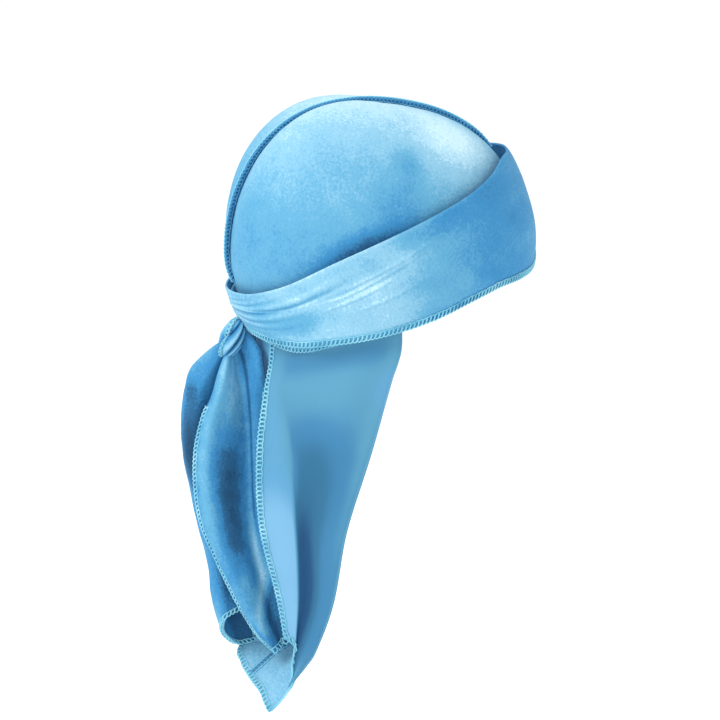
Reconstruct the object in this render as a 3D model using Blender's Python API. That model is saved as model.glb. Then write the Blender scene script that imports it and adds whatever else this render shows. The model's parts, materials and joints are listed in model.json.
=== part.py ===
# Durag: a velvet cap of two panels with a standing centre seam, two straps wound
# round it and knotted behind the nape, and a neck flap folded back on one side.
# Metres, +Z up. The wearer faces -Y and the wearer's right side is -X. The origin is
# where the top of the wearer's crown touches the inside of the cap.

import math

import bmesh
import bpy
from mathutils import Vector

# Inside of the cap
HEAD_LENGTH = 0.190
HEAD_WIDTH = 0.150
CROWN_HEIGHT = 0.081

# Cloth and the room between two layers of it
CLOTH = 0.0012
LAYER_GAP = 0.0009
PIECE_GAP = 0.0003
PANEL_GAP = 0.0006

# The panels stand higher beside the centre seam than along it, towards the nape
PANEL_PUFF = 0.0064
PUFF_WIDTH = 0.010

# Centre seam, turned outwards and standing on the cap; it stops this much tilt short
# of the strap, and its height falls off over its last stretch
SEAM_HEIGHT = 0.0037
SEAM_THICKNESS = 0.0018
SEAM_LEAN = 0.25
SEAM_SHORT_OF_STRAP = 2.5
SEAM_END_FALL = 0.6
SEAM_END_POWER = 12

# Wound straps
STRAP_LIFT = 0.0022
CREASE_DEPTH = 0.0012

# Knot behind the nape
KNOT_HALF_WIDTH = 0.0150
KNOT_HALF_DEPTH = 0.0085
KNOT_HALF_HEIGHT = 0.0125
KNOT_DROP = 0.1475
KNOT_SIDE = -0.0020
KNOT_SINK = 0.0010
KNOT_PLEATS = 5
PLEAT_DEPTH = 0.07
PLEAT_TWIST = 3.0

# Loose ends and neck flap
TAIL_DROP = 0.194
TAIL_SPREAD = 0.060
CAPE_TOP = 0.138
CAPE_DROP = 0.250
CAPE_EASE = 0.12
TAIL_LINE_END = 0.84

# Hems: the cap's ends this much tilt above the strap's, and hems keep this much apart
CAP_HEM_ABOVE_STRAP_HEM = 5.0
HEM_CLEARANCE = 0.8

# Facets
PANEL_COLUMNS = 28
PANEL_ROWS = 9
SEAM_COLUMNS = 44
STRAP_COLUMNS = 52
STRAP_ROWS = 9
INNER_STRAP_ROWS = 4
KNOT_COLUMNS = 20
KNOT_ROWS = 12
COLUMNS_PER_FOLD = 3
TAIL_ROWS = 13
CAPE_ROWS = 16
CAPE_ROWS_UNDER_STRAP = 2
WELD = 1e-6

# Colour and roughness of each piece
LOOKS = {
    "crown_right": {"colour": (0.20, 0.55, 0.80), "roughness": 0.75},
    "crown_left": {"colour": (0.20, 0.55, 0.80), "roughness": 0.75},
    "crown_seam": {"colour": (0.10, 0.38, 0.55), "roughness": 0.80},
    "wrap_inner": {"colour": (0.12, 0.42, 0.74), "roughness": 0.75},
    "wrap_outer": {"colour": (0.14, 0.46, 0.78), "roughness": 0.75},
    "knot": {"colour": (0.14, 0.44, 0.74), "roughness": 0.75},
    "tail_right": {"colour": (0.12, 0.40, 0.70), "roughness": 0.75},
    "tail_left": {"colour": (0.14, 0.44, 0.72), "roughness": 0.75},
    "cape": {"colour": (0.14, 0.42, 0.66), "roughness": 0.70},
}

# Bulge of the cap's inside beyond an ellipsoid, by the tilt from its top in degrees. The
# quarter column is the fullness added between the side and the back.
HEAD_FORM = (
    {"tilt": 0, "front": 1.000, "back": 1.000, "side": 1.00, "quarter": 0.00},
    {"tilt": 15, "front": 1.006, "back": 1.000, "side": 1.03, "quarter": 0.01},
    {"tilt": 30, "front": 1.030, "back": 0.985, "side": 1.07, "quarter": 0.03},
    {"tilt": 45, "front": 1.054, "back": 0.955, "side": 1.07, "quarter": 0.04},
    {"tilt": 60, "front": 1.065, "back": 0.920, "side": 1.05, "quarter": 0.04},
    {"tilt": 75, "front": 1.068, "back": 0.905, "side": 1.01, "quarter": 0.03},
    {"tilt": 90, "front": 1.097, "back": 0.912, "side": 1.00, "quarter": 0.02},
    {"tilt": 105, "front": 1.120, "back": 0.945, "side": 1.04, "quarter": 0.01},
    {"tilt": 120, "front": 1.120, "back": 0.985, "side": 1.12, "quarter": 0.00},
    {"tilt": 135, "front": 1.120, "back": 1.050, "side": 1.28, "quarter": 0.00},
)

# Edges of the wound straps in degrees of tilt, by the turn from the forehead
STRAP_EDGES = (
    {"turn": 0, "top": 57.0, "hem": 101.0, "inner_top": 66, "inner_hem": 95.0},
    {"turn": 15, "top": 57.5, "hem": 104.8, "inner_top": 67, "inner_hem": 98.0},
    {"turn": 30, "top": 58.8, "hem": 106.5, "inner_top": 68, "inner_hem": 100.0},
    {"turn": 45, "top": 64.3, "hem": 109.0, "inner_top": 72, "inner_hem": 103.0},
    {"turn": 60, "top": 70.7, "hem": 114.3, "inner_top": 78, "inner_hem": 108.0},
    {"turn": 75, "top": 77.5, "hem": 120.5, "inner_top": 85, "inner_hem": 115.0},
    {"turn": 90, "top": 84.9, "hem": 124.5, "inner_top": 92, "inner_hem": 121.0},
    {"turn": 110, "top": 95.7, "hem": 128.3, "inner_top": 102, "inner_hem": 128.5},
    {"turn": 130, "top": 106.5, "hem": 131.5, "inner_top": 111, "inner_hem": 134.0},
    {"turn": 150, "top": 112.7, "hem": 132.5, "inner_top": 116, "inner_hem": 134.5},
    {"turn": 165, "top": 114.5, "hem": 132.0, "inner_top": 118, "inner_hem": 134.0},
    {"turn": 180, "top": 115.0, "hem": 131.0, "inner_top": 119, "inner_hem": 133.0},
)

# Creases that run out of the gather: where each starts and ends, turn in degrees,
# height across the strap from its top edge to its hem, and half width
CREASES = (
    {"from_turn": 176, "from_across": 0.42, "to_turn": 116, "to_across": 0.38, "half_width": 0.12},
    {"from_turn": 174, "from_across": 0.70, "to_turn": 124, "to_across": 0.72, "half_width": 0.10},
    {"from_turn": 172, "from_across": 0.20, "to_turn": 128, "to_across": 0.12, "half_width": 0.08},
)

# The neck flap at set drops. Each fold's place is (side, back): side is a share of half
# the cap's width, wearer's right negative, back a share of half the cap's length.
CAPE_FOLDS = (
    "far_edge", "far_side", "far_back", "back", "near_back", "near_side", "near_front",
    "turnback", "flap_front", "flap_valley", "flap_ridge", "flap_edge",
)
CAPE_SECTIONS = (
    {"drop": 0.12, "far_edge": (0.96, 0.04), "far_side": (0.77, 0.38), "far_back": (0.45, 0.61),
     "back": (0.00, 0.72), "near_back": (-0.48, 0.61), "near_side": (-0.80, 0.40),
     "near_front": (-0.94, 0.17), "turnback": (-1.04, 0.02), "flap_front": (-1.00, 0.27),
     "flap_valley": (-0.72, 0.64), "flap_ridge": (-0.61, 0.72), "flap_edge": (-0.46, 0.75)},
    {"drop": 0.30, "far_edge": (0.83, 0.08), "far_side": (0.64, 0.38), "far_back": (0.37, 0.59),
     "back": (0.00, 0.66), "near_back": (-0.44, 0.57), "near_side": (-0.75, 0.38),
     "near_front": (-0.88, 0.22), "turnback": (-1.00, 0.15), "flap_front": (-0.94, 0.37),
     "flap_valley": (-0.67, 0.57), "flap_ridge": (-0.60, 0.65), "flap_edge": (-0.47, 0.82)},
    {"drop": 0.50, "far_edge": (0.67, 0.19), "far_side": (0.48, 0.44), "far_back": (0.27, 0.60),
     "back": (-0.03, 0.62), "near_back": (-0.40, 0.53), "near_side": (-0.66, 0.38),
     "near_front": (-0.80, 0.33), "turnback": (-0.93, 0.30), "flap_front": (-0.83, 0.43),
     "flap_valley": (-0.64, 0.51), "flap_ridge": (-0.59, 0.61), "flap_edge": (-0.47, 0.81)},
    {"drop": 0.70, "far_edge": (0.51, 0.34), "far_side": (0.31, 0.50), "far_back": (0.12, 0.58),
     "back": (-0.07, 0.53), "near_back": (-0.37, 0.45), "near_side": (-0.56, 0.37),
     "near_front": (-0.66, 0.36), "turnback": (-0.78, 0.37), "flap_front": (-0.69, 0.45),
     "flap_valley": (-0.59, 0.50), "flap_ridge": (-0.57, 0.58), "flap_edge": (-0.47, 0.69)},
    {"drop": 0.84, "far_edge": (0.42, 0.44), "far_side": (0.22, 0.60), "far_back": (0.08, 0.60),
     "back": (-0.10, 0.51), "near_back": (-0.34, 0.46), "near_side": (-0.47, 0.46),
     "near_front": (-0.53, 0.46), "turnback": (-0.63, 0.47), "flap_front": (-0.60, 0.54),
     "flap_valley": (-0.51, 0.58), "flap_ridge": (-0.52, 0.58), "flap_edge": (-0.48, 0.63)},
    {"drop": 0.88, "far_edge": (0.40, 0.45), "far_side": (0.12, 0.84), "far_back": (0.02, 0.80),
     "back": (-0.11, 0.66), "near_back": (-0.31, 0.56), "near_side": (-0.43, 0.53),
     "near_front": (-0.49, 0.51), "turnback": (-0.57, 0.53), "flap_front": (-0.55, 0.57),
     "flap_valley": (-0.50, 0.59), "flap_ridge": (-0.52, 0.57), "flap_edge": (-0.48, 0.62)},
    {"drop": 1.00, "far_edge": (0.36, 0.48), "far_side": (0.02, 1.30), "far_back": (-0.06, 1.28),
     "back": (-0.17, 1.24), "near_back": (-0.29, 1.06), "near_side": (-0.34, 0.88),
     "near_front": (-0.38, 0.80), "turnback": (-0.43, 0.73), "flap_front": (-0.46, 0.66),
     "flap_valley": (-0.50, 0.59), "flap_ridge": (-0.52, 0.57), "flap_edge": (-0.48, 0.62)},
)
# Where each fold leaves the cap, the layer that it lies in and the drop of its end
CAPE_ENDS = {
    "far_edge": {"turn": 262, "layer": 0, "end": 0.77},
    "far_side": {"turn": 240, "layer": 0, "end": 0.880},
    "far_back": {"turn": 210, "layer": 0, "end": 0.902},
    "back": {"turn": 180, "layer": 0, "end": 0.932},
    "near_back": {"turn": 150, "layer": 0, "end": 0.957},
    "near_side": {"turn": 120, "layer": 0, "end": 0.975},
    "near_front": {"turn": 100, "layer": 0, "end": 0.986},
    "turnback": {"turn": 86, "layer": 0.5, "end": 1.0},
    "flap_front": {"turn": 100, "layer": 1, "end": 0.950},
    "flap_valley": {"turn": 122, "layer": 1, "end": 0.875},
    "flap_ridge": {"turn": 138, "layer": 1, "end": 0.825},
    "flap_edge": {"turn": 152, "layer": 1, "end": 0.805},
}

# The loose ends at set drops below the knot: each fold's place as shares of the spread,
# side from the middle, back from the line in which the neck flap hangs
TAIL_SECTIONS = {
    "tail_right": (
        {"drop": 0.00, "edge": (-0.08, 0.41), "crest": (-0.12, 0.37), "centre": (-0.11, 0.32),
         "valley": (-0.08, 0.27), "strip": (-0.11, 0.235), "inner": (-0.07, 0.210)},
        {"drop": 0.05, "edge": (-0.16, 0.51), "crest": (-0.25, 0.46), "centre": (-0.20, 0.36),
         "valley": (-0.14, 0.26), "strip": (-0.22, 0.14), "inner": (-0.17, 0.09)},
        {"drop": 0.12, "edge": (-0.20, 0.61), "crest": (-0.32, 0.56), "centre": (-0.26, 0.42),
         "valley": (-0.17, 0.27), "strip": (-0.28, 0.15), "inner": (-0.20, 0.09)},
        {"drop": 0.20, "edge": (-0.22, 0.76), "crest": (-0.34, 0.68), "centre": (-0.27, 0.48),
         "valley": (-0.18, 0.29), "strip": (-0.30, 0.18), "inner": (-0.22, 0.10)},
        {"drop": 0.32, "edge": (-0.23, 0.88), "crest": (-0.35, 0.78), "centre": (-0.28, 0.54),
         "valley": (-0.20, 0.31), "strip": (-0.32, 0.22), "inner": (-0.23, 0.12)},
        {"drop": 0.50, "edge": (-0.24, 0.90), "crest": (-0.38, 0.79), "centre": (-0.30, 0.55),
         "valley": (-0.23, 0.34), "strip": (-0.35, 0.24), "inner": (-0.26, 0.13)},
        {"drop": 0.70, "edge": (-0.26, 0.77), "crest": (-0.40, 0.68), "centre": (-0.33, 0.49),
         "valley": (-0.27, 0.34), "strip": (-0.37, 0.21), "inner": (-0.28, 0.11)},
        {"drop": 0.90, "edge": (-0.30, 0.54), "crest": (-0.40, 0.48), "centre": (-0.36, 0.36),
         "valley": (-0.31, 0.26), "strip": (-0.37, 0.17), "inner": (-0.30, 0.11)},
        {"drop": 1.00, "edge": (-0.31, 0.39), "crest": (-0.40, 0.35), "centre": (-0.36, 0.28),
         "valley": (-0.32, 0.22), "strip": (-0.36, 0.16), "inner": (-0.31, 0.12)},
    ),
    "tail_left": (
        {"drop": 0.00, "front_inner": (0.00, 0.36), "front_crest": (-0.04, 0.43),
         "turnback": (0.03, 0.46), "back_crest": (0.09, 0.42), "back_inner": (0.10, 0.34)},
        {"drop": 0.05, "front_inner": (0.01, 0.42), "front_crest": (-0.07, 0.56),
         "turnback": (0.05, 0.65), "back_crest": (0.18, 0.56), "back_inner": (0.16, 0.38)},
        {"drop": 0.12, "front_inner": (0.02, 0.48), "front_crest": (-0.08, 0.72),
         "turnback": (0.07, 0.82), "back_crest": (0.24, 0.70), "back_inner": (0.20, 0.42)},
        {"drop": 0.30, "front_inner": (0.03, 0.56), "front_crest": (-0.08, 0.82),
         "turnback": (0.10, 0.96), "back_crest": (0.30, 0.80), "back_inner": (0.26, 0.50)},
        {"drop": 0.50, "front_inner": (0.03, 0.56), "front_crest": (-0.08, 0.78),
         "turnback": (0.10, 0.91), "back_crest": (0.32, 0.76), "back_inner": (0.28, 0.50)},
        {"drop": 0.70, "front_inner": (0.02, 0.60), "front_crest": (-0.08, 0.74),
         "turnback": (0.08, 0.85), "back_crest": (0.28, 0.74), "back_inner": (0.24, 0.54)},
        {"drop": 0.88, "front_inner": (0.00, 0.64), "front_crest": (-0.10, 0.76),
         "turnback": (0.05, 0.86), "back_crest": (0.22, 0.74), "back_inner": (0.18, 0.54)},
        {"drop": 1.00, "front_inner": (0.00, 0.58), "front_crest": (-0.08, 0.66),
         "turnback": (0.04, 0.70), "back_crest": (0.14, 0.60), "back_inner": (0.12, 0.46)},
    ),
}
# How far down each fold of the loose ends reaches
TAIL_ENDS = {
    "tail_right": {"edge": 1.00, "crest": 0.985, "centre": 0.98, "valley": 0.965, "strip": 0.96,
                   "inner": 0.955},
    "tail_left": {"front_inner": 0.84, "front_crest": 0.88, "turnback": 0.94,
                  "back_crest": 0.995, "back_inner": 0.985},
}


def between(rows, key, column, at):
    """Smooth value of a table's column, or of one part of a (side, back) pair."""
    name, part = column if isinstance(column, tuple) else (column, None)
    xs = [row[key] for row in rows]
    ys = [row[name] if part is None else row[name][part] for row in rows]
    last = len(xs) - 1
    i = max(0, min(last - 1, sum(1 for x in xs[1:] if x <= at)))
    span = xs[i + 1] - xs[i]
    s = (at - xs[i]) / span
    if s < 0 or s > 1:
        return ys[i] + (ys[i + 1] - ys[i]) * s

    def slope(j):
        a, b = max(j - 1, 0), min(j + 1, last)
        return (ys[b] - ys[a]) / (xs[b] - xs[a])

    return (
        ys[i] * (1 + 2 * s) * (1 - s) ** 2
        + slope(i) * span * s * (1 - s) ** 2
        + ys[i + 1] * s * s * (3 - 2 * s)
        + slope(i + 1) * span * s * s * (s - 1)
    )


def spline(points, at):
    """Point of a smooth curve through the points, at a place counted in points."""
    last = len(points) - 1
    i = min(int(at), last - 1)
    s = at - i
    a, b = points[max(i - 1, 0)], points[i]
    c, d = points[i + 1], points[min(i + 2, last)]
    return (
        b * (1 + 2 * s) * (1 - s) ** 2
        + (c - a) * 0.5 * s * (1 - s) ** 2
        + c * s * s * (3 - 2 * s)
        + (d - b) * 0.5 * s * s * (s - 1)
    )


def head_point(tilt, turn):
    """Point of the cap's inside, by its tilt from the top and its turn from the forehead."""
    t, f = math.radians(tilt), math.radians(turn)
    end = "front" if math.cos(f) > 0 else "back"
    along = math.cos(f) ** 2
    bulge = between(HEAD_FORM, "tilt", end, tilt) * along
    bulge += between(HEAD_FORM, "tilt", "side", tilt) * (1 - along)
    if end == "back":
        bulge += between(HEAD_FORM, "tilt", "quarter", tilt) * math.sin(2 * f) ** 2
    return Vector((
        -HEAD_WIDTH / 2 * bulge * math.sin(t) * math.sin(f),
        -HEAD_LENGTH / 2 * bulge * math.sin(t) * math.cos(f),
        CROWN_HEIGHT * (bulge * math.cos(t) - 1),
    ))


def on_head(tilt, turn, height):
    """Point that stands this far out from the cap's inside."""
    step = 0.05  # degrees, for the two slopes of the surface
    if tilt < step:
        return Vector((0, 0, height))
    down = head_point(tilt + step, turn) - head_point(tilt - step, turn)
    round_it = head_point(tilt, turn + step) - head_point(tilt, turn - step)
    return head_point(tilt, turn) + round_it.cross(down).normalized() * height


def strap_edge(column, turn):
    return between(STRAP_EDGES, "turn", column, turn if turn <= 180 else 360 - turn)


def material(name):
    made = bpy.data.materials.new(name)
    made.use_nodes = True
    shader = made.node_tree.nodes["Principled BSDF"]
    shader.inputs["Base Color"].default_value = (*LOOKS[name]["colour"], 1)
    shader.inputs["Roughness"].default_value = LOOKS[name]["roughness"]
    shader.inputs["Metallic"].default_value = 0
    return made


def finish(name, mesh_data):
    mesh_data.materials.append(material(name))
    mesh_data.shade_smooth()
    made = bpy.data.objects.new(name, mesh_data)
    bpy.context.scene.collection.objects.link(made)
    return made


def cloth_sheet(name, columns, rows, place, thickness=CLOTH, shift=0.0):
    """Sheet of cloth: place(u, v) gives its middle, u across it and v down it."""
    shape = bmesh.new()
    bmesh.ops.create_grid(shape, x_segments=columns, y_segments=rows, size=1)
    for vert in shape.verts:
        u = round((vert.co.x + 1) / 2 * columns) / columns
        v = round((1 - vert.co.y) / 2 * rows) / rows
        vert.co = place(u, v) + Vector((shift, 0, 0))
    bmesh.ops.remove_doubles(shape, verts=shape.verts, dist=WELD)
    data = bpy.data.meshes.new(name)
    shape.to_mesh(data)
    shape.free()
    made = finish(name, data)
    wall = made.modifiers.new("Wall", "SOLIDIFY")
    wall.thickness = thickness
    wall.offset = 0
    return made


def panel_puff(tilt, turn):
    """How far a panel stands off the cap's inside: none along the seam or under the strap."""
    aside = head_point(tilt, turn).x / PUFF_WIDTH
    towards_nape = (1 - math.cos(math.radians(turn))) / 2
    above_strap = max(0.0, 1 - (tilt / strap_edge("top", turn)) ** 2)
    return PANEL_PUFF * (1 - math.exp(-aside * aside)) * towards_nape * above_strap


def cap_panel(name, side):
    """Half of the cap, from the centre seam down to its hem; side is -1 or 1."""

    def place(u, v):
        turn = 180 * u if side < 0 else 360 - 180 * u
        tilt = v * (strap_edge("hem", turn) - CAP_HEM_ABOVE_STRAP_HEM)
        return on_head(tilt, turn, CLOTH / 2 + panel_puff(tilt, turn))

    return cloth_sheet(name, PANEL_COLUMNS, PANEL_ROWS, place, shift=side * PANEL_GAP / 2)


def centre_seam():
    """Fin along the top of the cap, from the strap on the forehead to the nape."""
    front = strap_edge("top", 0) - SEAM_SHORT_OF_STRAP
    back = strap_edge("top", 180) - SEAM_SHORT_OF_STRAP
    foot = CLOTH + PIECE_GAP + SEAM_LEAN * SEAM_THICKNESS

    def place(u, v):
        along = -front + (front + back) * u
        fall = SEAM_END_FALL * abs(2 * u - 1) ** SEAM_END_POWER
        height = SEAM_HEIGHT * (1 - v) * (1 - fall)
        upright = on_head(abs(along), 0 if along < 0 else 180, foot + height)
        return upright - Vector((SEAM_LEAN * height, 0, 0))

    return cloth_sheet("crown_seam", SEAM_COLUMNS, 1, place, thickness=SEAM_THICKNESS)


def layer_height(layer):
    """Height of the middle of a cloth layer, counted from the cap outwards."""
    return CLOTH / 2 + layer * (CLOTH + LAYER_GAP)


def crease(turn, across):
    depth = 0.0
    near = turn if turn <= 180 else 360 - turn
    for row in CREASES:
        along = (row["from_turn"] - near) / (row["from_turn"] - row["to_turn"])
        if 0 <= along <= 1:
            middle = row["from_across"] + (row["to_across"] - row["from_across"]) * along
            away = (across - middle) / row["half_width"]
            depth += CREASE_DEPTH * math.sin(math.pi * along) * math.exp(-away * away)
    return depth


def outer_strap():
    def place(u, v):
        turn = 360 * u
        top, hem = strap_edge("top", turn), strap_edge("hem", turn)
        front = max(0.0, math.cos(math.radians(turn)))
        lift = STRAP_LIFT * front * (1 - v) ** 3
        return on_head(top + (hem - top) * v, turn, layer_height(3) + lift + crease(turn, v))

    return cloth_sheet("wrap_outer", STRAP_COLUMNS, STRAP_ROWS, place)


def inner_strap():
    def place(u, v):
        turn = 360 * u
        top, hem = strap_edge("inner_top", turn), strap_edge("inner_hem", turn)
        return on_head(top + (hem - top) * v, turn, layer_height(2))

    return cloth_sheet("wrap_inner", STRAP_COLUMNS, INNER_STRAP_ROWS, place)


def knot_middle():
    nape = on_head(strap_edge("hem", 180), 180, layer_height(3) + CLOTH / 2)
    return Vector((KNOT_SIDE, nape.y + KNOT_HALF_DEPTH - KNOT_SINK, -KNOT_DROP))


def knot_radii(ball):
    """Half sizes of the pleated knot in the direction of this point of the unit ball."""
    round_it = math.atan2(ball.z, ball.x)
    ripple = math.cos(KNOT_PLEATS * round_it + PLEAT_TWIST * ball.y)
    pleat = 1 + PLEAT_DEPTH * ripple * (1 - ball.y ** 2)
    return Vector((KNOT_HALF_WIDTH, KNOT_HALF_DEPTH, KNOT_HALF_HEIGHT)) * pleat


def knot():
    shape = bmesh.new()
    bmesh.ops.create_uvsphere(shape, u_segments=KNOT_COLUMNS, v_segments=KNOT_ROWS, radius=1)
    for vert in shape.verts:
        vert.co = knot_middle() + vert.co * knot_radii(vert.co)
    data = bpy.data.meshes.new("knot")
    shape.to_mesh(data)
    shape.free()
    return finish("knot", data)


def under_knot(side, back, inward):
    """Height of the knot's underside, this far nearer its middle than the place."""
    middle = knot_middle()
    nearer = 1 - inward / math.hypot(side - middle.x, back - middle.y)
    side, back = middle.x + (side - middle.x) * nearer, middle.y + (back - middle.y) * nearer
    ball = Vector((0, 0, -1))
    for _ in range(8):  # settles well within a hundredth of a millimetre
        radii = knot_radii(ball)
        x, y = (side - middle.x) / radii.x, (back - middle.y) / radii.y
        ball = Vector((x, y, -math.sqrt(max(0.0, 1 - x * x - y * y))))
    return middle.z + ball.z * knot_radii(ball).z


def cape_at(fold, height):
    """Where a fold of the neck flap hangs at this height."""
    drop = (-CAPE_TOP - height) / CAPE_DROP
    side = between(CAPE_SECTIONS, "drop", (fold, 0), drop) * HEAD_WIDTH / 2
    back = between(CAPE_SECTIONS, "drop", (fold, 1), drop) * HEAD_LENGTH / 2
    return Vector((side, back, height))


def cape_fold(fold, v):
    """Point of a fold: v is 0 at the hem of the cap and 1 at the fold's own lower end."""
    turn, height = CAPE_ENDS[fold]["turn"], layer_height(CAPE_ENDS[fold]["layer"])
    above = strap_edge("hem", turn) - CAP_HEM_ABOVE_STRAP_HEM + HEM_CLEARANCE
    below = max(strap_edge("hem", turn), strap_edge("inner_hem", turn)) + HEM_CLEARANCE
    hidden = CAPE_ROWS_UNDER_STRAP / CAPE_ROWS
    if v <= hidden:
        return on_head(above + (below - above) * v / hidden, turn, height)
    leaves = on_head(below, turn, height)
    bottom = -CAPE_TOP - CAPE_DROP * CAPE_ENDS[fold]["end"]
    height = leaves.z + (bottom - leaves.z) * (v - hidden) / (1 - hidden)
    away = min(1.0, (leaves.z - height) / (CAPE_EASE * CAPE_DROP))
    return Vector((leaves.x, leaves.y, height)).lerp(cape_at(fold, height), away * away * (3 - 2 * away))


def cape():
    def place(u, v):
        points = [cape_fold(fold, v) for fold in CAPE_FOLDS]
        return spline(points, u * (len(points) - 1))

    return cloth_sheet("cape", COLUMNS_PER_FOLD * (len(CAPE_FOLDS) - 1), CAPE_ROWS, place)


def tail(name):
    """Loose end of a strap, hanging from the underside of the knot."""
    sections, ends = TAIL_SECTIONS[name], TAIL_ENDS[name]
    folds = list(ends)
    knot_bottom = -KNOT_DROP - KNOT_HALF_HEIGHT

    def beside_cape(fold, drop):
        line = max(knot_bottom - TAIL_DROP * drop, -CAPE_TOP - TAIL_LINE_END * CAPE_DROP)
        side = between(sections, "drop", (fold, 0), drop) * TAIL_SPREAD
        back = between(sections, "drop", (fold, 1), drop) * TAIL_SPREAD
        return side, cape_at("back", line).y + back

    def hang(fold, v):
        drop = v * ends[fold]
        start = under_knot(*beside_cape(fold, 0), CLOTH / 2) - CLOTH / 2 - PIECE_GAP
        end = knot_bottom - TAIL_DROP * ends[fold]
        return Vector((*beside_cape(fold, drop), start + (end - start) * v))

    def place(u, v):
        points = [hang(fold, v) for fold in folds]
        return spline(points, u * (len(points) - 1))

    return cloth_sheet(name, COLUMNS_PER_FOLD * (len(folds) - 1), TAIL_ROWS, place)


def main():
    for old in list(bpy.data.objects):
        bpy.data.objects.remove(old)
    cap_panel("crown_right", -1)
    cap_panel("crown_left", 1)
    centre_seam()
    inner_strap()
    outer_strap()
    knot()
    tail("tail_right")
    tail("tail_left")
    cape()


main()
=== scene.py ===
import json
import math

import bmesh
import bpy
import numpy as np
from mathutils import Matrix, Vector, noise

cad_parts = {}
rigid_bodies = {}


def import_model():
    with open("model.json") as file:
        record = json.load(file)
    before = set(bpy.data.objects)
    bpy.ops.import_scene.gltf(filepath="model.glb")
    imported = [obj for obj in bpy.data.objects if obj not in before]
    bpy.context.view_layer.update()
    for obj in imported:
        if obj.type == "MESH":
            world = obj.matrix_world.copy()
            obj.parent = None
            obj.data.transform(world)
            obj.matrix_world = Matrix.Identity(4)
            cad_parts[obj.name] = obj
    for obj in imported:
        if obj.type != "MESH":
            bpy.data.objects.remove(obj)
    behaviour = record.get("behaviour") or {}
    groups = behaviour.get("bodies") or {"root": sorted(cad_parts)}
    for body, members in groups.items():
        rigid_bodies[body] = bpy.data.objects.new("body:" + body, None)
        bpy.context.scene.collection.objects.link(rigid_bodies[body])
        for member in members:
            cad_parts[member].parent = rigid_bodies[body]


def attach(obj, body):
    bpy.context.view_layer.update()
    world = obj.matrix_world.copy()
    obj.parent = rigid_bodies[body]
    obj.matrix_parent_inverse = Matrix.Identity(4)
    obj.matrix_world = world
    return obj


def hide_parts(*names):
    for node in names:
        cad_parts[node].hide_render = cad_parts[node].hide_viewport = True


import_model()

for old in [made for made in bpy.data.objects if made.name in ("Cube", "Light", "Camera")]:
    bpy.data.objects.remove(old)
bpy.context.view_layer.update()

# The camera: where it stands round the wearer and what it looks at, in metres and degrees
camera = {"azimuth": 257.0, "elevation": 10.5, "distance": 2.2, "frameWidth": 0.4608,
          "aside": -0.0032, "above": -0.1635, "sensor": 36, "clip": (0.05, 200)}

# Sizes shared by every piece, in metres: the same as the solids'
cap = {"length": 0.190, "width": 0.150, "height": 0.081}
cloth = {"wall": 0.0012, "layerGap": 0.0009, "pieceGap": 0.0003, "weld": 1e-6}

# How far the inside of the cap bulges past an ellipsoid, by the tilt from its top in degrees: to
# the front, to the back, to the side and between side and back
capForm = {
    0: (1.000, 1.000, 1.00, 0.00),
    15: (1.006, 1.000, 1.03, 0.01),
    30: (1.030, 0.985, 1.07, 0.03),
    45: (1.054, 0.955, 1.07, 0.04),
    60: (1.065, 0.920, 1.05, 0.04),
    75: (1.068, 0.905, 1.01, 0.03),
    90: (1.097, 0.912, 1.00, 0.02),
    105: (1.120, 0.945, 1.04, 0.01),
    120: (1.120, 0.985, 1.12, 0.00),
    135: (1.120, 1.050, 1.28, 0.00),
}
# Edges of the wound straps in degrees of tilt, by the turn from the forehead: the outer one's top
# and hem, the inner one's top and hem
strapEdges = {
    0: (57.0, 101.0, 66.0, 95.0),
    5: (57.1, 101.3, 66.0, 95.3),
    15: (57.5, 104.3, 67.0, 98.0),
    30: (58.8, 106.5, 68.0, 100.0),
    45: (64.3, 109.0, 72.0, 103.0),
    60: (70.7, 114.3, 78.0, 108.0),
    75: (77.5, 120.5, 85.0, 115.0),
    90: (84.9, 124.5, 92.0, 121.0),
    110: (95.7, 128.3, 102.0, 128.5),
    130: (106.5, 131.5, 111.0, 134.0),
    150: (112.7, 132.5, 116.0, 134.5),
    165: (114.5, 132.0, 118.0, 134.0),
    180: (115.0, 131.0, 119.0, 133.0),
}
# The neck flap's folds: the turn where each leaves the cap, its layer and the drop of its end
capeEnds = {
    "farEdge": (262, 0, 0.77),
    "farSide": (240, 0, 0.862),
    "farBack": (210, 0, 0.902),
    "back": (180, 0, 0.932),
    "nearBack": (150, 0, 0.957),
    "nearSide": (120, 0, 0.975),
    "nearFront": (100, 0, 0.986),
    "turnback": (86, 0.5, 1.0),
    "flapFront": (100, 1, 0.932),
    "flapValley": (122, 1, 0.875),
    "flapRidge": (138, 1, 0.825),
    "flapEdge": (152, 1, 0.805),
}
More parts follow.
